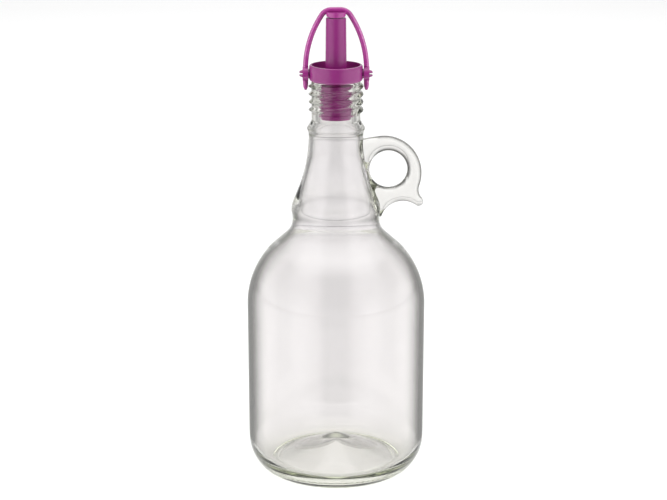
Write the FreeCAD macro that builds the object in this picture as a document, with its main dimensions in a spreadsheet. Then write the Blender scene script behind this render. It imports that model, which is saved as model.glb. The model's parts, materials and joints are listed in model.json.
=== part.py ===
"""One-litre glass flagon with a finger loop, a ribbed pourer and a swinging bail cap.

Millimetres, +Z up, origin on the bottle's axis in the plane that it stands on. The finger
loop points along +X and the bail swings about an axis parallel to X through the pourer's
pins. Every size is a cell of the sheet "Sizes", and each sketch and feature is bound to it.

    bottle   blown glass: body, neck, finish and finger loop, one wall thickness inside
    pourer   one moulding: ribbed plug, drip cup, spout and two split snap pins
    bail     one moulding: round rod arch with pin eyes, tails and the spout's cap
"""
import FreeCAD, Part
import math
import os
from types import SimpleNamespace

import Sketcher

V = FreeCAD.Vector

SIZES = {
    # Bottle, outside
    "body_radius": 52.5,
    "heel_width": 14.3,             # from the side in to the ring that it stands on
    "bearing_width": 3.7,
    "push_up": 7.5,                 # rise of the underside at the axis
    "heel_height": 19.2,
    "heel_side_radius": 23.5,
    "shoulder_height": 101.7,       # top of the straight wall
    "shoulder_radius": 50.0,
    "waist_radius": 25.2,           # groove between shoulder and neck
    "waist_height": 153.9,
    "waist_flare": 14.8,
    "bulge_radius": 26.45,
    "bulge_height": 158.6,
    "bulge_lower_radius": 2.6,
    "neck_curve": 89.7,
    "throat_radius": 15.9,
    "throat_height": 203.9,
    "transfer_radius": 17.0,        # ring that the mould holds the neck by
    "transfer_height": 206.6,
    "transfer_edge": 0.9,
    "finish_radius": 14.2,
    "finish_height": 211.8,
    "lip_round": 1.1,
    "glass_height": 235.0,
    # Bottle, inside
    "wall": 2.9,
    "bulge_wall": 3.7,
    "throat_wall": 2.5,
    "floor_height": 13.0,
    "inner_heel_radius": 16.6,
    "floor_ring_height": 7.0,
    "bore_radius": 9.8,
    "bore_depth": 23.0,
    # Finger loop, a flat band in the XZ plane
    "loop_x": 28.0,
    "loop_height": 180.8,
    "loop_radius": 21.7,
    "finger_x": 30.4,
    "finger_height": 183.0,
    "finger_radius": 11.0,
    "loop_thickness": 9.0,
    "loop_round": 2.2,
    "thumb_x": 48.2,
    "thumb_height": 163.9,
    "thumb_radius": 2.6,
    "thumb_hollow": 8.0,
    "arch_x": 39.0,                 # centre of the hollow under the band
    "arch_height": 151.2,
    "loop_foot_height": 154.8,
    "loop_root_radius": 13.0,       # the band runs in to here; the cavity trims it
    # Pourer
    "plug_clearance": 0.1,
    "plug_length": 21.7,
    "plug_core_radius": 8.6,
    "plug_nose_radius": 8.1,
    "plug_nose_height": 1.3,
    "plug_hollow_radius": 6.8,
    "plug_hollow_depth": 19.0,
    "fin_pitch": 3.4,
    "fin_count": 6,
    "fin_thickness": 1.5,
    "fin_land": 0.6,
    "fin_overlap": 0.3,             # how far a fin runs into the plug's core
    "collar_radius": 15.35,
    "collar_height": 9.0,
    "collar_edge": 1.3,
    "cup_radius": 13.95,
    "cup_floor": 2.2,
    "rim_edge": 0.8,
    "spout_base_radius": 6.25,
    "spout_top_radius": 5.8,
    "spout_height": 36.0,
    "spout_bore": 4.0,
    "spout_round": 0.5,
    "pin_height": 3.9,              # pin axis above the glass
    "pin_radius": 1.7,
    "pin_tip_radius": 1.5,
    "barb_radius": 2.2,
    "barb_length": 1.75,
    "boss_radius": 2.8,
    "pin_slot": 1.1,
    "pin_slot_depth": 4.4,
    # Bail
    "rod_radius": 1.5,
    "arm_gap": 0.45,                # between the collar and the eyes
    "pin_clearance": 0.06,
    "side_clearance": 0.08,
    "bail_height": 6.0,             # top of the rod above the spout
    "arm_curve": 57.1,
    "arm_bend": 34.3,               # the rod's top above the straight part of the arm
    "arch_corner": 6.8,
    "eye_radius": 4.0,
    "eye_thickness": 3.3,           # a little more than the rod's diameter
    "tail_length": 9.4,
    "tail_taper": 3.4,
    "tail_tip_radius": 0.6,
    "cap_radius": 5.3,
    "cap_top_radius": 5.9,
    "cap_top": 3.3,                 # top of the cap's disc above the spout
    "cap_clearance": 0.3,
}


class Size:
    """A length together with the spreadsheet expression that gives it."""

    def __init__(self, value, text):
        self.value = value
        self.text = text

    def join(self, sign, other, value):
        return Size(value, f"({self.text} {sign} {other.text})")

    def __add__(self, other):
        other = as_size(other)
        return self.join("+", other, self.value + other.value)

    def __sub__(self, other):
        other = as_size(other)
        return self.join("-", other, self.value - other.value)

    def __mul__(self, other):
        other = as_size(other)
        return self.join("*", other, self.value * other.value)


def as_size(number):
    return number if isinstance(number, Size) else Size(number, str(number))


def root_of_squares(first, second):
    """The long side of a right triangle."""
    return Size(math.hypot(first.value, second.value),
                f"sqrt({first.text} ^ 2 + {second.text} ^ 2)")


def spot(x, z):
    """A place as two plain numbers."""
    return as_size(x).value, as_size(z).value


def towards(first, second, distance):
    """The place at a distance from first on the line to second."""
    share = distance / math.dist(first, second)
    return (first[0] + (second[0] - first[0]) * share,
            first[1] + (second[1] - first[1]) * share)


def meet(first, first_radius, second, second_radius):
    """Where two circles cross, on the left of the line from first to second."""
    apart = math.dist(first, second)
    share = (apart ** 2 + first_radius ** 2 - second_radius ** 2) / (2 * apart)
    x, z = towards(first, second, share)
    aside = math.sqrt(first_radius ** 2 - share ** 2) / apart
    return x - (second[1] - first[1]) * aside, z + (second[0] - first[0]) * aside


def crown(half_width, rise):
    """Radius of an arc of this rise over this half width."""
    return (half_width ** 2 + rise ** 2) / (2 * rise)


def bend_within(foot, centre, radius):
    """Radius of an arc that leaves foot upright, bending to the left, and touches a circle.

    The circle lies outside the arc when radius is positive and holds it when negative.
    """
    run = centre[0] - foot[0]
    rise = centre[1] - foot[1]
    return (run ** 2 + rise ** 2 - radius ** 2) / (2 * (radius - run))


doc = FreeCAD.newDocument("Flagon")
sheet = doc.addObject("Spreadsheet::Sheet", "Sizes")
for row, (name, value) in enumerate(SIZES.items(), start=1):
    sheet.set(f"A{row}", name)
    sheet.set(f"B{row}", str(value))
    sheet.setAlias(f"B{row}", name)
doc.recompute()
d = SimpleNamespace(**{name: Size(value, f"Sizes.{name}") for name, value in SIZES.items()})

START, END, CENTRE = 1, 2, 3
ORIGIN_X, ORIGIN_Z = -1, -2


def new_body(name):
    body = doc.addObject("PartDesign::Body", name)
    body.Label = name
    return body


def origin_plane(body, role):
    return next(item for item in body.Origin.OriginFeatures if item.Role == role)


def new_sketch(body, name, role="XZ_Plane", offset=None):
    """A sketch on one of the body's own planes, moved along its normal by offset."""
    sketch = body.newObject("Sketcher::SketchObject", name)
    sketch.AttachmentSupport = [(origin_plane(body, role), "")]
    sketch.MapMode = "FlatFace"
    if offset:
        sketch.setExpression(".AttachmentOffset.Base.z", offset.text)
    return sketch


def bind(sketch, kind, *places, size):
    """A dimension of a sketch, held at a spreadsheet size."""
    size = as_size(size)
    index = sketch.addConstraint(Sketcher.Constraint(kind, *places, size.value))
    sketch.setExpression(f"Constraints[{index}]", size.text)


def hold(sketch, edge, place, x, z):
    """Hold a point of a sketch at each coordinate that is a Size, or 0 for on the axis."""
    for kind, axis, size in (("DistanceX", ORIGIN_Z, x), ("DistanceY", ORIGIN_X, z)):
        if isinstance(size, Size) and size.value > 0:
            bind(sketch, kind, ORIGIN_X, START, edge, place, size=size)
        elif isinstance(size, Size):
            bind(sketch, kind, edge, place, ORIGIN_X, START, size=size * -1)
        elif size == 0:
            sketch.addConstraint(Sketcher.Constraint("PointOnObject", edge, place, axis))


def arc_between(start, end, radius):
    """Arc from start to end; a positive radius has its centre on the left of the chord."""
    chord = end - start
    half = chord.Length / 2
    rise = math.sqrt(max(radius * radius - half * half, 0.0))
    left = V(-chord.y, chord.x, 0).normalize()
    centre = start + chord * 0.5 + left * math.copysign(rise, radius)
    first = math.atan2(start.y - centre.y, start.x - centre.x)
    last = math.atan2(end.y - centre.y, end.x - centre.x)
    circle = Part.Circle(centre, V(0, 0, 1), abs(radius))
    if radius > 0:
        return Part.ArcOfCircle(circle, first, last)
    return Part.ArcOfCircle(circle, last, first)


def draw(sketch, corners, edges, smooth=(), closed=True):
    """Draw a chain of lines and arcs through corners and join their ends.

    corners: (x, z) pairs; a Size holds that coordinate, a plain number only starts it.
    edges: one for each side, None for a line or the arc's signed starting radius.
    smooth: the corners that two sides run through without an angle.
    Returns, for each side, its number and its start and end positions.
    """
    points = [V(as_size(x).value, as_size(z).value, 0) for x, z in corners]
    sides = []
    for i, radius in enumerate(edges):
        start, end = points[i], points[(i + 1) % len(points)]
        if radius is None:
            number = sketch.addGeometry(Part.LineSegment(start, end), False)
        else:
            number = sketch.addGeometry(arc_between(start, end, radius), False)
        turned = radius is not None and radius < 0
        sides.append((number, END, START) if turned else (number, START, END))
    for i, (x, z) in enumerate(corners):
        number, place = sides[i][:2] if i < len(sides) else (sides[-1][0], sides[-1][2])
        hold(sketch, number, place, x, z)
    for i in range(1, len(sides) + int(closed)):
        before, after = sides[i - 1], sides[i % len(sides)]
        kind = "Tangent" if i in smooth else "Coincident"
        sketch.addConstraint(
            Sketcher.Constraint(kind, before[0], before[2], after[0], after[1]))
    return sides


def upright(sketch, side, place):
    """An arc's end runs parallel to Z: its centre is level with that end."""
    sketch.addConstraint(Sketcher.Constraint("Horizontal", side[0], CENTRE, side[0], side[place]))


def level(sketch, side, place):
    """An arc's end runs parallel to X: its centre is straight above or below that end."""
    sketch.addConstraint(Sketcher.Constraint("Vertical", side[0], CENTRE, side[0], side[place]))


def radius_of(sketch, side, size):
    bind(sketch, "Radius", side[0], size=size)


def draw_circle(sketch, x, z, radius):
    """A circle held at x and z; x may be 0."""
    centre = V(as_size(x).value, as_size(z).value, 0)
    number = sketch.addGeometry(Part.Circle(centre, V(0, 0, 1), radius.value), False)
    hold(sketch, number, CENTRE, x, z)
    bind(sketch, "Radius", number, size=radius)


def revolve(body, sketch, name, axis="V_Axis"):
    turned = body.newObject("PartDesign::Revolution", name)
    turned.Profile = sketch
    turned.ReferenceAxis = (sketch, [axis])
    turned.Angle = 360
    return turned


def pad(body, sketch, name, length, both_sides=False):
    return extrude(body, sketch, name, "PartDesign::Pad", length, both_sides)


def pocket(body, sketch, name, length, both_sides=False):
    return extrude(body, sketch, name, "PartDesign::Pocket", length, both_sides)


def extrude(body, sketch, name, kind, length, both_sides):
    feature = body.newObject(kind, name)
    feature.Profile = sketch
    feature.SideType = "Symmetric" if both_sides else "One side"
    feature.setExpression("Length", length.text)
    return feature


def mirror(body, features, name):
    """The same features again on the other side of the YZ plane."""
    mirrored = body.newObject("PartDesign::Mirrored", name)
    mirrored.Originals = features
    mirrored.MirrorPlane = (origin_plane(body, "YZ_Plane"), [""])
    body.Tip = mirrored
    return mirrored


# ---------------------------------------------------------------- bottle: the blown outside

blank = new_body("glass_blank")
outside = new_sketch(blank, "glass_outside")
heel_side = spot(d.body_radius - d.heel_side_radius, d.heel_height)
bearing_radius = d.body_radius - d.heel_width
heel_foot = spot(bearing_radius, 0)
heel_radius = (d.heel_side_radius.value ** 2 - math.dist(heel_side, heel_foot) ** 2) / (
    2 * (d.heel_side_radius.value - heel_side[1]))
heel_join = towards(heel_side, (heel_foot[0], heel_radius), d.heel_side_radius.value)
shoulder_centre = spot(d.body_radius - d.shoulder_radius, d.shoulder_height)
flare_centre = spot(d.waist_radius + d.waist_flare, d.waist_height)
shoulder_end = meet(shoulder_centre, d.shoulder_radius.value, flare_centre, d.waist_flare.value)
waist_top = d.bulge_height.value - math.sqrt(
    (d.bulge_radius - d.waist_radius).value
    * (2 * d.bulge_lower_radius.value - (d.bulge_radius - d.waist_radius).value))
neck_centre = spot(d.throat_radius + d.neck_curve, d.throat_height)
bulge_foot = spot(d.bulge_radius, d.bulge_height)
bulge_curve = bend_within(bulge_foot, neck_centre, d.neck_curve.value)
neck_join = towards(neck_centre, (bulge_foot[0] - bulge_curve, bulge_foot[1]), d.neck_curve.value)
sides = draw(
    outside,
    corners=[
        (0, d.push_up),
        (bearing_radius - d.bearing_width, 0),
        (bearing_radius, 0),
        heel_join,
        (d.body_radius, d.heel_height),
        (d.body_radius, d.shoulder_height),
        shoulder_end,
        (d.waist_radius, d.waist_height),
        (d.waist_radius, waist_top),
        (d.bulge_radius, d.bulge_height),
        neck_join,
        (d.throat_radius, d.throat_height),
        (d.transfer_radius, d.transfer_height),
        (d.transfer_radius, d.transfer_height + d.transfer_edge),
        (d.finish_radius, d.finish_height),
        (d.finish_radius, d.glass_height - d.lip_round),
        (d.finish_radius - d.lip_round, d.glass_height),
        (0, d.glass_height),
    ],
    edges=[
        -crown((bearing_radius - d.bearing_width).value, d.push_up.value),
        None,
        heel_radius,
        d.heel_side_radius.value,
        None,
        d.shoulder_radius.value,
        -d.waist_flare.value,
        None,
        d.bulge_lower_radius.value,
        bulge_curve,
        -d.neck_curve.value,
        None,
        None,
        None,
        None,
        d.lip_round.value,
        None,
        None,
    ],
    smooth={2, 3, 4, 5, 7, 9, 10},
)
level(outside, sides[0], START)
radius_of(outside, sides[3], d.heel_side_radius)
radius_of(outside, sides[5], d.shoulder_radius)
radius_of(outside, sides[6], d.waist_flare)
radius_of(outside, sides[8], d.bulge_lower_radius)
upright(outside, sides[8], END)
radius_of(outside, sides[10], d.neck_curve)
upright(outside, sides[10], END)
radius_of(outside, sides[15], d.lip_round)
revolve(blank, outside, "glass_solid")

# ---------------------------------------------------------------- bottle: the space inside

hollow = new_body("glass_cavity")
inside = new_sketch(hollow, "cavity_outline")
inner_radius = d.body_radius - d.wall
neck_inner = d.bulge_radius - d.bulge_wall
throat_inner = d.throat_radius - d.throat_wall
cavity_top = d.glass_height + d.wall
floor_ring_radius = inner_radius - d.inner_heel_radius
shoulder_inside = (d.shoulder_radius - d.wall).value
waist_inside = spot(neck_inner, d.waist_height)
flare_inside = bend_within(waist_inside, shoulder_centre, -shoulder_inside) * -1
shoulder_join = towards(shoulder_centre, (waist_inside[0] + flare_inside, waist_inside[1]),
                        shoulder_inside)
neck_inside = spot(throat_inner + d.neck_curve, d.throat_height)
bulge_inside = spot(neck_inner, d.bulge_height)
bulge_inner_curve = bend_within(bulge_inside, neck_inside, d.neck_curve.value)
sides = draw(
    inside,
    corners=[
        (0, d.floor_height),
        (floor_ring_radius, d.floor_ring_height),
        (inner_radius, (d.floor_ring_height + d.inner_heel_radius).value),
        (inner_radius, d.shoulder_height),
        shoulder_join,
        (neck_inner, d.waist_height),
        (neck_inner, d.bulge_height),
        towards(neck_inside, (bulge_inside[0] - bulge_inner_curve, bulge_inside[1]),
                d.neck_curve.value),
        (throat_inner, d.throat_height),
        (d.bore_radius, d.glass_height - d.bore_depth),
        (d.bore_radius, cavity_top),
        (0, cavity_top),
    ],
    edges=[
        -crown(floor_ring_radius.value, (d.floor_height - d.floor_ring_height).value),
        d.inner_heel_radius.value,
        None,
        shoulder_inside,
        -flare_inside,
        None,
        bulge_inner_curve,
        -d.neck_curve.value,
        None,
        None,
        None,
        None,
    ],
    smooth={2, 3, 4, 5, 6, 7},
)
level(inside, sides[0], START)
level(inside, sides[1], START)
radius_of(inside, sides[3], d.shoulder_radius - d.wall)
radius_of(inside, sides[7], d.neck_curve)
upright(inside, sides[7], END)
revolve(hollow, inside, "cavity_solid")

# ---------------------------------------------------------------- bottle: the finger loop

loop = new_body("finger_loop")
band = new_sketch(loop, "loop_outline")
loop_centre = spot(d.loop_x, d.loop_height)
thumb_centre = spot(d.thumb_x, d.thumb_height)
arch_centre = spot(d.arch_x, d.arch_height)
arch_radius = math.dist(arch_centre, thumb_centre) - d.thumb_radius.value
arch_rise = (d.loop_foot_height - d.arch_height).value
hollow_centre = meet(loop_centre, (d.loop_radius + d.thumb_hollow).value,
                     thumb_centre, (d.thumb_radius + d.thumb_hollow).value)
loop_rise = math.sqrt(d.loop_radius.value ** 2 - (d.loop_x - d.loop_root_radius).value ** 2)
sides = draw(
    band,
    corners=[
        (d.loop_root_radius, d.loop_foot_height),
        (arch_centre[0] - math.sqrt(arch_radius ** 2 - arch_rise ** 2), d.loop_foot_height),
        towards(arch_centre, thumb_centre, arch_radius),
        towards(thumb_centre, hollow_centre, d.thumb_radius.value),
        towards(loop_centre, hollow_centre, d.loop_radius.value),
        (d.loop_root_radius, d.loop_height.value + loop_rise),
    ],
    edges=[None, -arch_radius, d.thumb_radius.value, -d.thumb_hollow.value,
           d.loop_radius.value, None],
    smooth={2, 3, 4},
)
hold(band, sides[1][0], CENTRE, d.arch_x, d.arch_height)
hold(band, sides[2][0], CENTRE, d.thumb_x, d.thumb_height)
radius_of(band, sides[2], d.thumb_radius)
radius_of(band, sides[3], d.thumb_hollow)
hold(band, sides[4][0], CENTRE, d.loop_x, d.loop_height)
radius_of(band, sides[4], d.loop_radius)
draw_circle(band, d.finger_x, d.finger_height, d.finger_radius)
flat_loop = pad(loop, band, "loop_band", d.loop_thickness, both_sides=True)
doc.recompute()


def is_rim(edge):
    """An arc of the band's outline or hole, on its front or back face."""
    box = edge.BoundBox
    flat = box.YLength < 1e-6 and abs(abs(box.YMin) - d.loop_thickness.value / 2) < 1e-6
    return flat and isinstance(edge.Curve, Part.Circle)


rims = [f"Edge{i}" for i, edge in enumerate(flat_loop.Shape.Edges, start=1) if is_rim(edge)]
rounded = loop.newObject("PartDesign::Fillet", "loop_rounding")
rounded.Base = (flat_loop, rims)
rounded.setExpression("Radius", d.loop_round.text)

glass = doc.addObject("Part::Fuse", "glass_with_loop")
glass.Base = blank
glass.Tool = loop
bottle = doc.addObject("Part::Cut", "bottle")
bottle.Label = "bottle"
bottle.Base = glass
bottle.Tool = hollow

# ---------------------------------------------------------------- pourer

pourer = new_body("pourer")
lip = d.glass_height
plug_foot = lip - d.plug_length
collar_top = lip + d.collar_height
spout_top = lip + d.spout_height
hollow_top = plug_foot + d.plug_hollow_depth
moulding = new_sketch(pourer, "moulding_outline")
sides = draw(
    moulding,
    corners=[
        (d.plug_nose_radius, plug_foot),
        (d.plug_core_radius, plug_foot + d.plug_nose_height),
        (d.plug_core_radius, lip),
        (d.collar_radius - d.collar_edge, lip),
        (d.collar_radius, lip + d.collar_edge),
        (d.collar_radius, collar_top - d.rim_edge),
        (d.collar_radius - d.rim_edge, collar_top),
        (d.cup_radius, collar_top),
        (d.cup_radius, lip + d.cup_floor),
        (d.spout_base_radius, lip + d.cup_floor),
        (d.spout_top_radius, spout_top - d.spout_round),
        (d.spout_top_radius - d.spout_round, spout_top),
        (d.spout_bore, spout_top),
        (d.spout_bore, hollow_top + (d.plug_hollow_radius - d.spout_bore)),
        (d.plug_hollow_radius, hollow_top),
        (d.plug_hollow_radius, plug_foot),
    ],
    edges=[
        None,
        None,
        None,
        d.collar_edge.value,
        None,
        d.rim_edge.value,
        None,
        None,
        None,
        None,
        d.spout_round.value,
        None,
        None,
        None,
        None,
        None,
    ],
)
radius_of(moulding, sides[3], d.collar_edge)
radius_of(moulding, sides[5], d.rim_edge)
radius_of(moulding, sides[10], d.spout_round)
revolve(pourer, moulding, "moulding_solid")

fin_outline = new_sketch(pourer, "fin_outline")
fin_radius = d.bore_radius - d.plug_clearance
fin_root = d.plug_core_radius - d.fin_overlap
fin_foot = plug_foot + d.plug_nose_height
fin_slope = (d.fin_thickness - d.fin_land) * 0.5
draw(
    fin_outline,
    corners=[
        (fin_root, fin_foot),
        (fin_radius, fin_foot + fin_slope),
        (fin_radius, fin_foot + fin_slope + d.fin_land),
        (fin_root, fin_foot + d.fin_thickness),
    ],
    edges=[None] * 4,
)
first_fin = revolve(pourer, fin_outline, "first_fin")
fins = pourer.newObject("PartDesign::LinearPattern", "fins")
fins.Originals = [first_fin]
fins.Direction = (fin_outline, ["V_Axis"])
fins.setExpression("Occurrences", d.fin_count.text)
fins.setExpression("Length", (d.fin_pitch * (d.fin_count - 1)).text)
pourer.Tip = fins

pin_axis = lip + d.pin_height
arm_inner = d.collar_radius + d.arm_gap
arm_outer = arm_inner + d.eye_thickness
boss_end = arm_inner - d.side_clearance
barb_start = arm_outer + d.side_clearance
pin_end = barb_start + d.barb_length
pin_root = (d.cup_radius + d.collar_radius) * 0.5      # inside the collar's wall
pin_outline = new_sketch(pourer, "pin_outline")
draw(
    pin_outline,
    corners=[
        (pin_root, pin_axis),
        (pin_end, pin_axis),
        (pin_end, pin_axis + d.pin_tip_radius),
        (barb_start, pin_axis + d.barb_radius),
        (barb_start, pin_axis + d.pin_radius),
        (boss_end, pin_axis + d.pin_radius),
        (boss_end, pin_axis + d.boss_radius),
        (pin_root, pin_axis + d.boss_radius),
    ],
    edges=[None] * 8,
)
pin = revolve(pourer, pin_outline, "snap_pin", axis="Edge1")
slot_outline = new_sketch(pourer, "slot_outline", "YZ_Plane", offset=pin_end)
slot_side = d.boss_radius
slot_low = pin_axis - d.pin_slot * 0.5
slot_high = pin_axis + d.pin_slot * 0.5
draw(
    slot_outline,
    corners=[
        (slot_side * -1, slot_low),
        (slot_side, slot_low),
        (slot_side, slot_high),
        (slot_side * -1, slot_high),
    ],
    edges=[None] * 4,
)
slot = pocket(pourer, slot_outline, "pin_slot", d.pin_slot_depth)
mirror(pourer, [pin, slot], "second_pin")

# ---------------------------------------------------------------- bail

bail = new_body("bail")
spout_reach = d.spout_height - d.pin_height
sweep_radius = root_of_squares(spout_reach, d.spout_top_radius) + d.cap_clearance
cap_outline = new_sketch(bail, "cap_outline")
draw(
    cap_outline,
    corners=[
        (0, spout_top),
        (d.cap_radius, spout_top),
        (d.cap_top_radius, spout_top + d.cap_top),
        (0, spout_top + d.cap_top),
    ],
    edges=[None] * 4,
)
revolve(bail, cap_outline, "cap_disc")
swing_path = new_sketch(bail, "swing_path", "YZ_Plane")
draw_circle(swing_path, 0, pin_axis, sweep_radius)
pocket(bail, swing_path, "cap_hollow", sweep_radius, both_sides=True)

arm_x = arm_inner + d.eye_thickness * 0.5
tail_end = pin_axis - d.tail_length
rod_foot = tail_end + d.tail_taper
arch_top = spout_top + d.bail_height - d.rod_radius
bend_foot = arch_top - d.arm_bend
curve_centre = spot(arm_x - d.arm_curve, bend_foot)
corner_height = (arch_top - d.arch_corner).value
corner_reach = (d.arm_curve - d.arch_corner).value
corner_x = curve_centre[0] + math.sqrt(
    corner_reach ** 2 - (corner_height - curve_centre[1]) ** 2)
arch_path = new_sketch(bail, "arch_path")
sides = draw(
    arch_path,
    corners=[
        (arm_x, rod_foot),
        (arm_x, bend_foot),
        towards(curve_centre, (corner_x, corner_height), d.arm_curve.value),
        (corner_x, arch_top),
        (0, arch_top),
    ],
    edges=[None, d.arm_curve.value, d.arch_corner.value, None],
    smooth={1, 2, 3},
    closed=False,
)
radius_of(arch_path, sides[1], d.arm_curve)
radius_of(arch_path, sides[2], d.arch_corner)
rod_section = new_sketch(bail, "rod_section", "XY_Plane", offset=rod_foot)
draw_circle(rod_section, arm_x, 0, d.rod_radius)
rod = bail.newObject("PartDesign::AdditivePipe", "arm_rod")
rod.Profile = rod_section
rod.Spine = arch_path

tail_outline = new_sketch(bail, "tail_outline")
sides = draw(
    tail_outline,
    corners=[
        (arm_x, tail_end),
        (arm_x + d.tail_tip_radius, tail_end),
        (arm_x + d.rod_radius, rod_foot),
        (arm_x, rod_foot),
    ],
    edges=[None, crown(d.tail_taper.value, (d.rod_radius - d.tail_tip_radius).value), None, None],
)
upright(tail_outline, sides[1], END)
tail = revolve(bail, tail_outline, "tail", axis="Edge4")

eye_outline = new_sketch(bail, "eye_outline", "YZ_Plane", offset=arm_inner)
draw_circle(eye_outline, 0, pin_axis, d.eye_radius)
eye = pad(bail, eye_outline, "eye", d.eye_thickness)
hole_outline = new_sketch(bail, "pin_hole_outline", "YZ_Plane", offset=arm_outer)
draw_circle(hole_outline, 0, pin_axis, d.pin_radius + d.pin_clearance)
pin_hole = pocket(bail, hole_outline, "pin_hole", d.eye_thickness)
mirror(bail, [rod, tail, eye, pin_hole], "second_arm")

# ---------------------------------------------------------------- check and write

doc.recompute()
failed = [item.Name for item in doc.Objects if {"Invalid", "Error"} & set(item.State)]
if failed:
    raise RuntimeError(f"these objects did not build: {failed}")
loose = [item.Name for item in doc.Objects
         if item.TypeId == "Sketcher::SketchObject" and item.solve() != 0]
if loose:
    raise RuntimeError(f"these sketches did not solve: {loose}")

nodes = [bottle, pourer, bail]
for node in nodes:
    if node.Shape.isNull() or not node.Shape.isValid() or len(node.Shape.Solids) != 1:
        raise RuntimeError(f"{node.Label} is not one valid solid")
os.makedirs("parts", exist_ok=True)
for node in nodes:
    node.Shape.exportStep(f"parts/{node.Label}.step")
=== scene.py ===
"""Looks of the one-litre glass flagon with its purple pourer and swinging bail cap."""
import json
import math

import bpy
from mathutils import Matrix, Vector

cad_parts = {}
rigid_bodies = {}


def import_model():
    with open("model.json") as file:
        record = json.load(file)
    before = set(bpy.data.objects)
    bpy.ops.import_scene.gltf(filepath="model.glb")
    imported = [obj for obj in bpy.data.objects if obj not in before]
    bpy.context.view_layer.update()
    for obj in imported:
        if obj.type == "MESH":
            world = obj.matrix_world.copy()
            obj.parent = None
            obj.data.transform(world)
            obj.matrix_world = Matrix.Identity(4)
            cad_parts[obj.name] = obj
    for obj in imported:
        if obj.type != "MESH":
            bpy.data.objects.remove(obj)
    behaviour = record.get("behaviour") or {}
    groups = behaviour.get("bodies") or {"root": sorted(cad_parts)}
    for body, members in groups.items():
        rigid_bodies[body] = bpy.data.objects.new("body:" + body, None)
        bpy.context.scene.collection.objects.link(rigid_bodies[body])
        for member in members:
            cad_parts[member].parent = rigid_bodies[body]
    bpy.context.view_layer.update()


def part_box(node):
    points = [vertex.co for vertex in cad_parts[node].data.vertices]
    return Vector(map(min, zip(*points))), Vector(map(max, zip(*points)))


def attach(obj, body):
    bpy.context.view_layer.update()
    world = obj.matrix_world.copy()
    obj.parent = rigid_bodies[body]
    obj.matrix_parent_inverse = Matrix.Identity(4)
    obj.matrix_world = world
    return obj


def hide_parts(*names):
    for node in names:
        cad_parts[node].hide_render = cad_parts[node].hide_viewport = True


bpy.ops.object.select_all(action="SELECT")
bpy.ops.object.delete()
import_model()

# ---------------------------------------------------------------- glass flagon
# Blown soda-lime glass, clear and faintly olive where it is thick. The outside is turned
# from its outline, the thread is raised on the finish, the finger loop is pressed on, and
# the hollow is cut out last, as the blow leaves it.

MM = 0.001
SAME_PLACE = 1e-6
GLASS_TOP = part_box("bottle")[1].z
BODY_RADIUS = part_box("bottle")[1].x
BEARING_RADIUS = 38.2 * MM
BEARING_WIDTH = 3.7 * MM
PUSH_UP = 13.4 * MM
PUSH_UP_TIP = 2.5 * MM
PUSH_UP_EASE = (0.4 * MM, 0.9 * MM)
HEEL_HEIGHT = 19.2 * MM
HEEL_SIDE_RADIUS = 23.5 * MM
SHOULDER_HEIGHT = 101.7 * MM
SHOULDER_RADIUS = 50.0 * MM
WAIST_RADIUS = 25.2 * MM
WAIST_HEIGHT = 153.9 * MM
WAIST_FLARE = 14.8 * MM
WAIST_MELT = (136.0 * MM, 174.0 * MM)
BULGE_RADIUS = 26.45 * MM
BULGE_HEIGHT = 158.6 * MM
BULGE_LOWER = 2.6 * MM
NECK_CURVE = 89.7 * MM
THROAT_RADIUS = 15.9 * MM
THROAT_HEIGHT = 203.9 * MM
RING_RADIUS = 17.0 * MM
RING_HEIGHT = 206.6 * MM
RING_SLOPE = (0.5 * MM, 0.4 * MM)
RING_LAND = 0.5 * MM
RING_MELT = (202.0 * MM, 213.5 * MM)
FINISH_RADIUS = 14.2 * MM
FINISH_HEIGHT = 211.8 * MM
LIP_ROUND = 1.1 * MM
CONE_ROWS = 2.0 * MM
WALL_ROWS = 6.0 * MM
RING_ROWS = 0.25 * MM
THREAD_ROWS = 0.22 * MM
TURN_STEPS = 144


def arc(centre, radius, first, last, step=3.0):
    """Points of an arc in the XZ plane, from one angle in degrees to another."""
    count = max(2, round(abs(last - first) / step))
    angles = [math.radians(first + (last - first) * i / count) for i in range(count + 1)]
    return [(centre[0] + radius * math.cos(a), centre[1] + radius * math.sin(a))
            for a in angles]


def straight(start, end, gap):
    """Points along a line, so that a turned wall has rows as close as gap."""
    count = max(1, round(math.dist(start, end) / gap))
    return [(start[0] + (end[0] - start[0]) * i / count,
             start[1] + (end[1] - start[1]) * i / count) for i in range(count + 1)]


def heading(start, end):
    """Direction from one point to another in the XZ plane, in degrees."""
    return math.degrees(math.atan2(end[1] - start[1], end[0] - start[0]))


def draw(name, places):
    """A piece drawn as one chain of edges, left in edit mode with all of it selected."""
    bpy.ops.object.select_all(action="DESELECT")
    bpy.ops.mesh.primitive_plane_add(size=MM)
    piece = bpy.context.object
    piece.name = name
    bpy.ops.object.mode_set(mode="EDIT")
    bpy.ops.mesh.select_mode(type="VERT")
    bpy.ops.mesh.merge(type="CENTER")
    bpy.ops.transform.translate(value=places[0])
    for start, end in zip(places, places[1:]):
        if math.dist(start, end) > SAME_PLACE / 10:
            step = tuple(b - a for a, b in zip(start, end))
            bpy.ops.mesh.extrude_vertices_move(TRANSFORM_OT_translate={"value": step})
    bpy.ops.mesh.select_all(action="SELECT")
    return piece


def turn(name, outline, steps=TURN_STEPS):
    """A closed solid turned about Z from an outline that starts and ends on the axis."""
    piece = draw(name, [(x, 0, z) for x, z in outline])
    bpy.ops.mesh.spin(steps=steps, angle=math.tau, center=(0, 0, 0), axis=(0, 0, 1))
    bpy.ops.mesh.select_all(action="SELECT")
    bpy.ops.mesh.remove_doubles(threshold=SAME_PLACE)
    bpy.ops.mesh.normals_make_consistent(inside=False)
    bpy.ops.object.mode_set(mode="OBJECT")
    return piece


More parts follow.
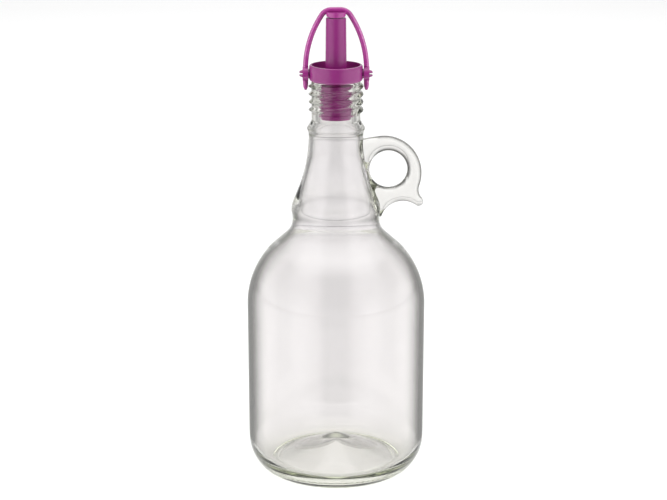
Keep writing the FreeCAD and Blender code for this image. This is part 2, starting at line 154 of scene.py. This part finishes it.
def cone(height, tip, foot):
    """A hill from its rounded top on the axis, straight down to foot."""
    steep = heading((0, height), foot)
    slope = math.radians(-steep)
    sphere = tip / math.sin(slope)
    centre = (0, foot[1] + foot[0] * math.tan(slope) - sphere / math.cos(slope))
    top = arc(centre, sphere, 90, 90 + steep, step=1.5)
    return top + straight(top[-1], foot, CONE_ROWS)[1:]


def soften(outline, zone, passes):
    """Melt the corners of an outline between the two heights of a zone."""
    places = list(outline)
    for _ in range(passes):
        places = [places[0]] + [
            ((a[0] + 2 * b[0] + c[0]) / 4, (a[1] + 2 * b[1] + c[1]) / 4)
            if zone[0] < b[1] < zone[1] and b[0] > 0 else b
            for a, b, c in zip(places, places[1:], places[2:])] + [places[-1]]
    return places


def join_heel():
    """Centres of the small arc over the standing ring and of the heel's side, and a radius."""
    side = (BODY_RADIUS - HEEL_SIDE_RADIUS, HEEL_HEIGHT)
    run = side[0] - BEARING_RADIUS
    # The small arc starts level at the ring's edge and meets the side's arc from inside.
    radius = ((HEEL_SIDE_RADIUS ** 2 - run ** 2 - side[1] ** 2)
              / (2 * (HEEL_SIDE_RADIUS - side[1])))
    return (BEARING_RADIUS, radius), side, radius


def join_outward(low, high, high_radius):
    """Radius of an arc that leaves low upright and meets the hollow arc round high."""
    run = high[0] - low[0]
    rise = high[1] - low[1]
    return (run ** 2 + rise ** 2 - high_radius ** 2) / (2 * (high_radius - run))


def neck(low_radius, high_radius):
    """The neck from its bulge, bent out, to its throat, bent in."""
    centre = (high_radius + NECK_CURVE, THROAT_HEIGHT)
    small = join_outward((low_radius, BULGE_HEIGHT), centre, NECK_CURVE)
    small_centre = (low_radius - small, BULGE_HEIGHT)
    tilt = heading(small_centre, centre)
    return (arc(small_centre, small, 0, tilt)
            + arc(centre, NECK_CURVE, 180 + tilt, 180, step=0.7))


def far_angle(near, far, span):
    """Angle in degrees between a side of a triangle and its base, by the three lengths."""
    return math.degrees(math.acos((near ** 2 + span ** 2 - far ** 2) / (2 * near * span)))


heel_centre, side_centre, heel_radius = join_heel()
heel_tilt = heading(side_centre, heel_centre)
shoulder_centre = (BODY_RADIUS - SHOULDER_RADIUS, SHOULDER_HEIGHT)
flare_centre = (WAIST_RADIUS + WAIST_FLARE, WAIST_HEIGHT)
span = math.dist(shoulder_centre, flare_centre)
across = heading(shoulder_centre, flare_centre)
shoulder_end = across + far_angle(SHOULDER_RADIUS, WAIST_FLARE, span)
flare_start = 180 + across - far_angle(WAIST_FLARE, SHOULDER_RADIUS, span)
bulge_drop = math.degrees(math.acos((WAIST_RADIUS - BULGE_RADIUS + BULGE_LOWER) / BULGE_LOWER))
ring_inside = BEARING_RADIUS - BEARING_WIDTH

outside = cone(PUSH_UP, PUSH_UP_TIP, (ring_inside - PUSH_UP_EASE[0], PUSH_UP_EASE[1]))
outside += straight((ring_inside, 0), (BEARING_RADIUS, 0), MM)
outside += arc(heel_centre, heel_radius, -90, heel_tilt)
outside += arc(side_centre, HEEL_SIDE_RADIUS, heel_tilt, 0)
outside += straight((BODY_RADIUS, HEEL_HEIGHT), (BODY_RADIUS, SHOULDER_HEIGHT), WALL_ROWS)
outside += arc(shoulder_centre, SHOULDER_RADIUS, 0, shoulder_end, step=2.0)
outside += arc(flare_centre, WAIST_FLARE, flare_start, 180)
outside += arc((BULGE_RADIUS - BULGE_LOWER, BULGE_HEIGHT), BULGE_LOWER, -bulge_drop, 0, step=8.0)
outside += neck(BULGE_RADIUS, THROAT_RADIUS)
outside = soften(outside, WAIST_MELT, passes=30)
for corner in ((RING_RADIUS - RING_SLOPE[0], RING_HEIGHT - RING_SLOPE[1]),
               (RING_RADIUS, RING_HEIGHT + RING_LAND), (FINISH_RADIUS, FINISH_HEIGHT)):
    outside += straight(outside[-1], corner, RING_ROWS)[1:]
outside = soften(outside, RING_MELT, passes=9)
outside += straight((FINISH_RADIUS, FINISH_HEIGHT), (FINISH_RADIUS, GLASS_TOP - LIP_ROUND),
                    THREAD_ROWS)
outside += arc((FINISH_RADIUS - LIP_ROUND, GLASS_TOP - LIP_ROUND), LIP_ROUND, 0, 90, step=15)
outside += [(0, GLASS_TOP)]
glass = turn("flagon_glass", outside)

# The thread is a two-start ridge, faded in and out at its ends.
THREAD_HEIGHT = 1.6 * MM
THREAD_WIDTH = 3.9 * MM
THREAD_LEAD = 9.1 * MM
THREAD_FOOT = 217.2 * MM
THREAD_TURNS = 1.75
THREAD_LEAD_IN = 0.1
THREAD_FADE = 0.06


def thread_rise(angle, height):
    """How far the thread stands out of the finish at an angle and a height."""
    rise = 0.0
    for start in (0.0, math.pi):
        turned = ((angle - start) / math.tau + THREAD_LEAD_IN) % 1.0
        for along in (turned, turned + 1):
            off = abs(height - THREAD_FOOT - along * THREAD_LEAD) / (THREAD_WIDTH / 2)
            fade = min(1.0, along / THREAD_FADE, (THREAD_TURNS - along) / THREAD_FADE)
            if off < 1.0:
                rise = max(rise, fade * THREAD_HEIGHT * math.cos(off * math.pi / 2) ** 2)
    return rise


# The standing ring is knurled, every other step of the turn.
KNURL_DEPTH = 0.6 * MM
KNURL_ZONE = (BEARING_RADIUS - 2.6 * MM, BEARING_RADIUS + MM)
FLAT_ON_TABLE = 0.2 * MM

for vertex in glass.data.vertices:
    radius = math.hypot(vertex.co.x, vertex.co.y)
    angle = math.atan2(vertex.co.y, vertex.co.x)
    if vertex.co.z > FINISH_HEIGHT and abs(radius - FINISH_RADIUS) < 10 * SAME_PLACE:
        rise = thread_rise(angle, vertex.co.z)
        vertex.co.x *= 1 + rise / radius
        vertex.co.y *= 1 + rise / radius
    elif vertex.co.z < FLAT_ON_TABLE and KNURL_ZONE[0] < radius < KNURL_ZONE[1]:
        vertex.co.z += KNURL_DEPTH * (round(angle / math.tau * TURN_STEPS) % 2)

# The hollow follows the outside, with a thicker wall in the heel and the bulge.
WALL = 2.9 * MM
BULGE_WALL = 3.7 * MM
THROAT_WALL = 2.5 * MM
FLOOR_HEIGHT = 19.6 * MM
FLOOR_TIP = 2.5 * MM
FLOOR_RING_RADIUS = 35.0 * MM
FLOOR_RING_HEIGHT = 4.6 * MM
BORE_RADIUS = 9.8 * MM
BORE_FOOT = GLASS_TOP - 23.0 * MM
BORE_ROWS = 0.5 * MM
INSIDE_WAIST_MELT = (138.0 * MM, 190.0 * MM)
INSIDE_THROAT_MELT = (199.0 * MM, BORE_FOOT - MM)

inner_radius = BODY_RADIUS - WALL
inner_heel = inner_radius - FLOOR_RING_RADIUS
heel_top = FLOOR_RING_HEIGHT + inner_heel
neck_inner = BULGE_RADIUS - BULGE_WALL
inner_shoulder = SHOULDER_RADIUS - WALL
rise = WAIST_HEIGHT - SHOULDER_HEIGHT
run = neck_inner - shoulder_centre[0]
inner_flare = (inner_shoulder ** 2 - run ** 2 - rise ** 2) / (2 * (run - inner_shoulder))
inner_flare_centre = (neck_inner + inner_flare, WAIST_HEIGHT)
inner_across = heading(shoulder_centre, inner_flare_centre)

inside = cone(FLOOR_HEIGHT, FLOOR_TIP, (FLOOR_RING_RADIUS, FLOOR_RING_HEIGHT))
inside += arc((FLOOR_RING_RADIUS, heel_top), inner_heel, -90, 0)
inside += straight((inner_radius, heel_top), (inner_radius, SHOULDER_HEIGHT), WALL_ROWS)
inside += arc(shoulder_centre, inner_shoulder, 0, inner_across, step=2.0)
inside += arc(inner_flare_centre, inner_flare, 180 + inner_across, 180)
inside += neck(neck_inner, THROAT_RADIUS - THROAT_WALL)
inside += straight(inside[-1], (BORE_RADIUS, BORE_FOOT), BORE_ROWS)[1:]
inside = soften(inside, INSIDE_WAIST_MELT, passes=120)
inside = soften(inside, INSIDE_THROAT_MELT, passes=30)
inside += [(BORE_RADIUS, GLASS_TOP + MM), (0, GLASS_TOP + MM)]
hollow = turn("flagon_hollow", inside)

# The finger loop is a flat band with rounded edges and a thumb rest below.
LOOP_CENTRE = (28.0 * MM, 180.8 * MM)
LOOP_RADIUS = 21.7 * MM
LOOP_THICKNESS = 9.0 * MM
LOOP_FOOT = 154.8 * MM
LOOP_ROOT = 13.0 * MM
LOOP_ROOT_TOP = 200.4 * MM
LOOP_TURN = 101.0
LOOP_ROUND = 3.9 * MM
THUMB_SHARE = 0.64
ROUNDER_ZONE = (170.0 * MM, 192.0 * MM)
THUMB_CENTRE = (48.2 * MM, 163.9 * MM)
THUMB_RADIUS = 2.6 * MM
THUMB_HOLLOW = 8.0 * MM
ARCH_CENTRE = (39.0 * MM, 151.2 * MM)
FINGER_CENTRE = (30.4 * MM, 183.0 * MM)
FINGER_RADIUS = 11.0 * MM
FINGER_ROUND = 3.8 * MM


def meet(first, first_radius, second, second_radius):
    """Where two circles cross, on the right-hand side of the line from first to second."""
    apart = math.dist(first, second)
    along = (apart ** 2 + first_radius ** 2 - second_radius ** 2) / (2 * apart)
    aside = math.sqrt(first_radius ** 2 - along ** 2)
    ux, uz = (second[0] - first[0]) / apart, (second[1] - first[1]) / apart
    return (first[0] + ux * along + uz * aside, first[1] + uz * along - ux * aside)


def select(piece):
    """Select one piece alone and make it active."""
    bpy.ops.object.select_all(action="DESELECT")
    piece.select_set(True)
    bpy.context.view_layer.objects.active = piece


def join(piece, tool, operation):
    """Fuse a tool to a piece, or cut it out, and put the tool away."""
    cut = piece.modifiers.new(operation.lower(), "BOOLEAN")
    cut.operation = operation
    cut.object = tool
    cut.solver = "MANIFOLD"
    select(piece)
    bpy.ops.object.modifier_apply(modifier=cut.name)
    bpy.data.objects.remove(tool)


arch_radius = math.dist(ARCH_CENTRE, THUMB_CENTRE) - THUMB_RADIUS
hollow_centre = meet(THUMB_CENTRE, THUMB_RADIUS + THUMB_HOLLOW,
                     LOOP_CENTRE, LOOP_RADIUS + THUMB_HOLLOW)
arch_end = heading(ARCH_CENTRE, THUMB_CENTRE)
arch_start = 180 - math.degrees(math.asin((LOOP_FOOT - ARCH_CENTRE[1]) / arch_radius))
thumb_end = heading(THUMB_CENTRE, hollow_centre)
loop_start = heading(LOOP_CENTRE, hollow_centre)
band = [(LOOP_ROOT, LOOP_FOOT)]
band += arc(ARCH_CENTRE, arch_radius, arch_start, arch_end, step=4)
band += arc(THUMB_CENTRE, THUMB_RADIUS, arch_end - 180, thumb_end, step=12)
band += arc(hollow_centre, THUMB_HOLLOW, 180 + thumb_end, 180 + loop_start, step=5)
band += arc(LOOP_CENTRE, LOOP_RADIUS, loop_start, LOOP_TURN)
band += [(LOOP_ROOT, LOOP_ROOT_TOP)]
loop = draw("finger_loop", [(x, 0, z) for x, z in band + band[:1]])
bpy.ops.mesh.remove_doubles(threshold=SAME_PLACE)
bpy.ops.mesh.select_all(action="SELECT")
bpy.ops.mesh.edge_face_add()
bpy.ops.transform.translate(value=(0, LOOP_THICKNESS / 2, 0))
bpy.ops.mesh.extrude_region_move(TRANSFORM_OT_translate={"value": (0, -LOOP_THICKNESS, 0)})
bpy.ops.mesh.select_all(action="SELECT")
bpy.ops.mesh.normals_make_consistent(inside=False)
bpy.ops.object.mode_set(mode="OBJECT")

# Its edges are rounded more towards the top, and not at all inside the neck.
roundness = loop.data.attributes.new("bevel_weight_edge", "FLOAT", "EDGE")
for edge in loop.data.edges:
    start, end = [loop.data.vertices[i].co for i in edge.vertices]
    if abs(start.y - end.y) < SAME_PLACE and max(start.x, end.x) > LOOP_ROOT + MM:
        risen = ((start + end).z / 2 - ROUNDER_ZONE[0]) / (ROUNDER_ZONE[1] - ROUNDER_ZONE[0])
        share = THUMB_SHARE + (1 - THUMB_SHARE) * min(1.0, max(0.0, risen))
        roundness.data[edge.index].value = share
rounding = loop.modifiers.new("rounding", "BEVEL")
rounding.limit_method = "WEIGHT"
rounding.width = LOOP_ROUND
rounding.segments = 8
rounding.use_clamp_overlap = False
select(loop)
bpy.ops.object.modifier_apply(modifier=rounding.name)

# The finger hole opens out in a round on both faces, as a spool would press it.
half = LOOP_THICKNESS / 2
mouth = half - FINGER_ROUND
rim_radius = FINGER_RADIUS + FINGER_ROUND
spool = [(0, -half - MM), (rim_radius, -half - MM)]
spool += arc((rim_radius, -mouth), FINGER_ROUND, 270, 180, step=9)
spool += arc((rim_radius, mouth), FINGER_ROUND, 180, 90, step=9)
spool += [(rim_radius, half + MM), (0, half + MM)]
finger = turn("finger_hole", spool, steps=96)
finger.rotation_euler.x = math.radians(90)
finger.location = (FINGER_CENTRE[0], 0, FINGER_CENTRE[1])
bpy.ops.object.transform_apply()
join(glass, loop, "UNION")
join(glass, finger, "DIFFERENCE")
join(glass, hollow, "DIFFERENCE")
select(glass)
bpy.ops.object.shade_smooth_by_angle(angle=math.radians(35))
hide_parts("bottle")
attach(glass, "bottle")

# Clear glass with painted shade where it is seen edge on, reaching further in on the thick loop:
# a darker base colour stands in for the darker room that its edges bend.
GLASS_COLOUR = (0.87, 0.853, 0.865, 1)
EDGE_PAINTED_SHADE = (0.26, 0.255, 0.245, 1)
PAINTED_SHADE_FACING = (0.47, 0.82)
LOOP_EDGE_PAINTED_SHADE = (0.075, 0.073, 0.068, 1)
LOOP_PAINTED_SHADE_SHIFT = 0.38
LOOP_BESIDE = (21.0 * MM, 25.0 * MM)
LOOP_ABOVE = (163.0 * MM, 168.0 * MM)
OLIVE = (0.62, 0.66, 0.45, 1)
OLIVE_DENSITY = 22.0
LAST_BOUNCE = 5.5
SEEN_THROUGH = (0.985, 0.985, 0.985, 1)


def add_node(tree, kind, inputs=None, **settings):
    """A node of a kind, with each input set to a value or wired to another node's output."""
    made = tree.nodes.new("ShaderNode" + kind)
    for setting, value in settings.items():
        setattr(made, setting, value)
    for socket, value in (inputs or {}).items():
        if isinstance(value, bpy.types.NodeSocket):
            tree.links.new(value, made.inputs[socket])
        else:
            made.inputs[socket].default_value = value
    return made


def reckon(tree, operation, *values):
    """The result of a Math node."""
    return add_node(tree, "Math", dict(enumerate(values)), operation=operation).outputs[0]


def ramp(tree, value, ends, low=0.0, high=1.0, curve="LINEAR"):
    """The result of a Map Range node, from low at the first end to high at the second."""
    spread = {"Value": value, "From Min": ends[0], "From Max": ends[1],
              "To Min": low, "To Max": high}
    return add_node(tree, "MapRange", spread, interpolation_type=curve).outputs[0]


def axes(tree, place):
    """The X, Y and Z of a place."""
    return add_node(tree, "SeparateXYZ", {"Vector": place}).outputs


def new_material(name):
    """A material and its nodes."""
    made = bpy.data.materials.new(name)
    made.use_nodes = True
    return made, made.node_tree


clear, tree = new_material("clear_glass")
shader = tree.nodes["Principled BSDF"]
shader.inputs["Transmission Weight"].default_value = 1.0
shader.inputs["Roughness"].default_value = 0.0
shader.inputs["IOR"].default_value = 1.5
place = axes(tree, add_node(tree, "TexCoord").outputs["Object"])
# Painted shade: the base colour darkens towards grazing angles, and further in from the edges on
# the finger loop.
loop_shade_mask = ramp(tree, place["Z"], LOOP_ABOVE, high=ramp(tree, place["X"], LOOP_BESIDE))
facing = add_node(tree, "LayerWeight").outputs["Facing"]
shifted = reckon(tree, "MULTIPLY_ADD", loop_shade_mask, LOOP_PAINTED_SHADE_SHIFT, facing)
painted_edge_shade = add_node(tree, "Mix", {"Factor": loop_shade_mask, "A": EDGE_PAINTED_SHADE, "B": LOOP_EDGE_PAINTED_SHADE},
                       data_type="RGBA")
pane_and_painted_shade = add_node(tree, "Mix", {"Factor": ramp(tree, shifted, PAINTED_SHADE_FACING), "A": GLASS_COLOUR,
                              "B": painted_edge_shade.outputs["Result"]}, data_type="RGBA")
tree.links.new(pane_and_painted_shade.outputs["Result"], shader.inputs["Base Color"])
olive = add_node(tree, "VolumeAbsorption", {"Color": OLIVE, "Density": OLIVE_DENSITY})

# Light that only falls on what stands behind goes straight through, and so does light
# that has been trapped in the walls for long.
ray = add_node(tree, "LightPath").outputs
soft_ray = reckon(tree, "MAXIMUM", ray["Is Shadow Ray"], ray["Is Diffuse Ray"])
trapped = reckon(tree, "GREATER_THAN", ray["Ray Depth"], LAST_BOUNCE)
passing = add_node(tree, "BsdfTransparent", {"Color": SEEN_THROUGH})
surface = add_node(tree, "MixShader", {0: reckon(tree, "MAXIMUM", soft_ray, trapped),
                                       1: shader.outputs["BSDF"], 2: passing.outputs["BSDF"]})
tree.links.new(surface.outputs["Shader"], tree.nodes["Material Output"].inputs["Surface"])
tree.links.new(olive.outputs["Volume"], tree.nodes["Material Output"].inputs["Volume"])
glass.data.materials.clear()
glass.data.materials.append(clear)

# ---------------------------------------------------------------- pourer
# One moulding of purple polyethylene, pressed into the mouth: a ribbed plug, a drip cup
# with the spout in its middle, and a split pin on each side for the bail.

PLASTIC_COLOUR = (0.265, 0.019, 0.18, 1)
PLASTIC_ROUGHNESS = 0.26
PLASTIC_GLOSS = 0.85
GRAIN_SCALE = 400.0
GRAIN_DEPTH = 0.05 * MM


def dress(name, material):
    """Give a carried-over node one material."""
    coats = bpy.data.objects[name].data.materials
    coats.clear()
    coats.append(material)


purple, tree = new_material("purple_plastic")
shader = tree.nodes["Principled BSDF"]
shader.inputs["Base Color"].default_value = PLASTIC_COLOUR
shader.inputs["Roughness"].default_value = PLASTIC_ROUGHNESS
shader.inputs["Specular IOR Level"].default_value = PLASTIC_GLOSS
grain = add_node(tree, "TexNoise", {"Vector": add_node(tree, "TexCoord").outputs["Object"],
                                    "Scale": GRAIN_SCALE})
bump = add_node(tree, "Bump", {"Height": grain.outputs["Fac"], "Distance": GRAIN_DEPTH})
tree.links.new(bump.outputs["Normal"], shader.inputs["Normal"])
dress("pourer", purple)

# ---------------------------------------------------------------- bail
# A second moulding of the same plastic: an arched round rod with an eye on each pin, a
# tail below each eye and the cap of the spout in its middle. It is snapped over the pins
# and swings on them.

dress("bail", purple)

# ---------------------------------------------------------------- floor, light, camera
# A plain white floor under soft boxes, with grey cards beside the bottle, as for any
# clear glass on white: they give its edges something darker to bend and mirror.

FLOOR_SIZE = 12
PAPER_COLOUR = (0.9, 0.9, 0.9, 1)
PAPER_ROUGHNESS = 0.9
SOFT_BOX_PEAK = 36.0

bpy.ops.object.select_all(action="DESELECT")
bpy.ops.mesh.primitive_plane_add(size=FLOOR_SIZE)
floor = bpy.context.object
floor.name = "floor"
paper, tree = new_material("white_paper")
tree.nodes["Principled BSDF"].inputs["Base Color"].default_value = PAPER_COLOUR
tree.nodes["Principled BSDF"].inputs["Roughness"].default_value = PAPER_ROUGHNESS
floor.data.materials.append(paper)


def lamp(name, place, aim, width, height, power):
    """A soft box, bright in the middle and fading to nothing at its edges."""
    bpy.ops.object.light_add(type="AREA", location=place)
    light = bpy.context.object
    light.name = name
    light.data.shape = "RECTANGLE"
    light.data.size = width
    light.data.size_y = height
    light.data.energy = power
    light.rotation_euler = (Vector(place) - Vector(aim)).to_track_quat("Z", "Y").to_euler()
    light.data.use_nodes = True
    tree = light.data.node_tree
    across = axes(tree, add_node(tree, "NewGeometry").outputs["Parametric"])
    sides = [reckon(tree, "MULTIPLY", across[axis], reckon(tree, "SUBTRACT", 1.0, across[axis]))
             for axis in "XY"]
    shine = reckon(tree, "MULTIPLY", reckon(tree, "MULTIPLY", *sides), SOFT_BOX_PEAK)
    tree.links.new(shine, tree.nodes["Emission"].inputs["Strength"])
    return light


def card(name, middle, half_turn, radius, foot, height, tone, feather, cover=1.0):
    """A curved grey card round the bottle, feathered at its upright edges.

    Its middle is so many degrees round from the back, and it reaches half_turn to each
    side. The camera doesn't see it.
    """
    angle = math.radians(90 - middle + half_turn)
    corner = (radius * math.cos(angle), radius * math.sin(angle))
    sheet = draw(name, [(*corner, foot), (*corner, foot + height)])
    bpy.ops.mesh.spin(steps=48, angle=math.radians(2 * half_turn), center=(0, 0, 0),
                      axis=(0, 0, 1))
    bpy.ops.object.mode_set(mode="OBJECT")
    grey, tree = new_material(name)
    tree.nodes.remove(tree.nodes["Principled BSDF"])
    centred = add_node(tree, "Mapping", {"Vector": add_node(tree, "TexCoord").outputs["Object"],
                                         "Rotation": (0, 0, math.radians(middle))})
    place = axes(tree, centred.outputs["Vector"])
    aside = reckon(tree, "ABSOLUTE", reckon(tree, "ARCTAN2", place["X"], place["Y"]))
    fade = ramp(tree, aside, (math.radians(half_turn), math.radians(half_turn - feather)),
                high=cover, curve="SMOOTHSTEP")
    glow = add_node(tree, "Emission", {"Color": (tone, tone, tone, 1)})
    passing = add_node(tree, "BsdfTransparent")
    surface = add_node(tree, "MixShader", {0: fade, 1: passing.outputs["BSDF"],
                                           2: glow.outputs["Emission"]})
    tree.links.new(surface.outputs["Shader"], tree.nodes["Material Output"].inputs["Surface"])
    sheet.data.materials.append(grey)
    sheet.visible_camera = False
    sheet.visible_diffuse = False
    sheet.visible_shadow = False


lamp("light_back", (0, 0.9, 2.1), (0, 0.85, 0), 4.6, 4.8, 64)
for name, side in (("light_right", 1), ("light_left", -1)):
    light = lamp(name, (side * 0.95, -0.4, 0.6), (0, 0, 0.22), 0.6, 1.0, 4.5)
    light.visible_glossy = False
    light.visible_transmission = False

# Two narrow strips shine on the bail alone, for the bright line along its rods.
rods = bpy.data.collections.new("rods")
rods.objects.link(bpy.data.objects["bail"])
for name, side in (("strip_right", 1), ("strip_left", -1)):
    light = lamp(name, (side * 0.9, -0.55, 0.45), (0, 0, 0.25), 0.16, 1.3, 7.0)
    light.light_linking.receiver_collection = rods
    light.visible_transmission = False

for side, sign in (("right", 1), ("left", -1)):
    card("flag_low_" + side, middle=sign * 71, half_turn=29, radius=0.075, foot=0.0005,
         height=0.15, tone=0.42, feather=22)
    card("flag_high_" + side, middle=sign * 47, half_turn=23, radius=0.2, foot=0.1,
         height=0.33, tone=0.42, feather=20)
card("flag_back", middle=0, half_turn=11, radius=0.07, foot=0.0005, height=0.26, tone=0.0,
     feather=6, cover=0.065)
card("flag_front", middle=180, half_turn=42, radius=0.2, foot=0.0005, height=0.33, tone=0.03,
     feather=34)

# The room is white at the level of the eye, greyer overhead and dark behind the camera.
HORIZON_LIGHT = 1.15
OVERHEAD_LIGHT = 0.4
OVERHEAD_FROM = 0.5
BEHIND_CAMERA = (-1.0, -0.78)
BEHIND_CAMERA_LIGHT = 0.2

world = bpy.data.worlds.new("studio")
bpy.context.scene.world = world
world.use_nodes = True
tree = world.node_tree
way = axes(tree, add_node(tree, "TexCoord").outputs["Generated"])
sky = ramp(tree, way["Z"], (0.0, OVERHEAD_FROM), HORIZON_LIGHT, OVERHEAD_LIGHT, "SMOOTHSTEP")
front = ramp(tree, way["Y"], BEHIND_CAMERA, BEHIND_CAMERA_LIGHT, 1.0, "SMOOTHSTEP")
tree.nodes["Background"].inputs["Color"].default_value = (1, 1, 1, 1)
tree.links.new(reckon(tree, "MULTIPLY", sky, front),
               tree.nodes["Background"].inputs["Strength"])
bpy.context.scene.view_settings.view_transform = "Standard"

# A long lens about a metre away, a little above the bottle and tilted down at it.
LOOK_DOWN = 15.95
bpy.ops.object.camera_add(location=(0, -0.9802, 0.4140))
camera = bpy.context.object
camera.name = "camera"
camera.data.lens = 93.4
camera.data.sensor_width = 36
camera.data.shift_x = -0.00375
camera.rotation_euler = (math.radians(90 - LOOK_DOWN), 0, 0)
bpy.context.scene.camera = camera
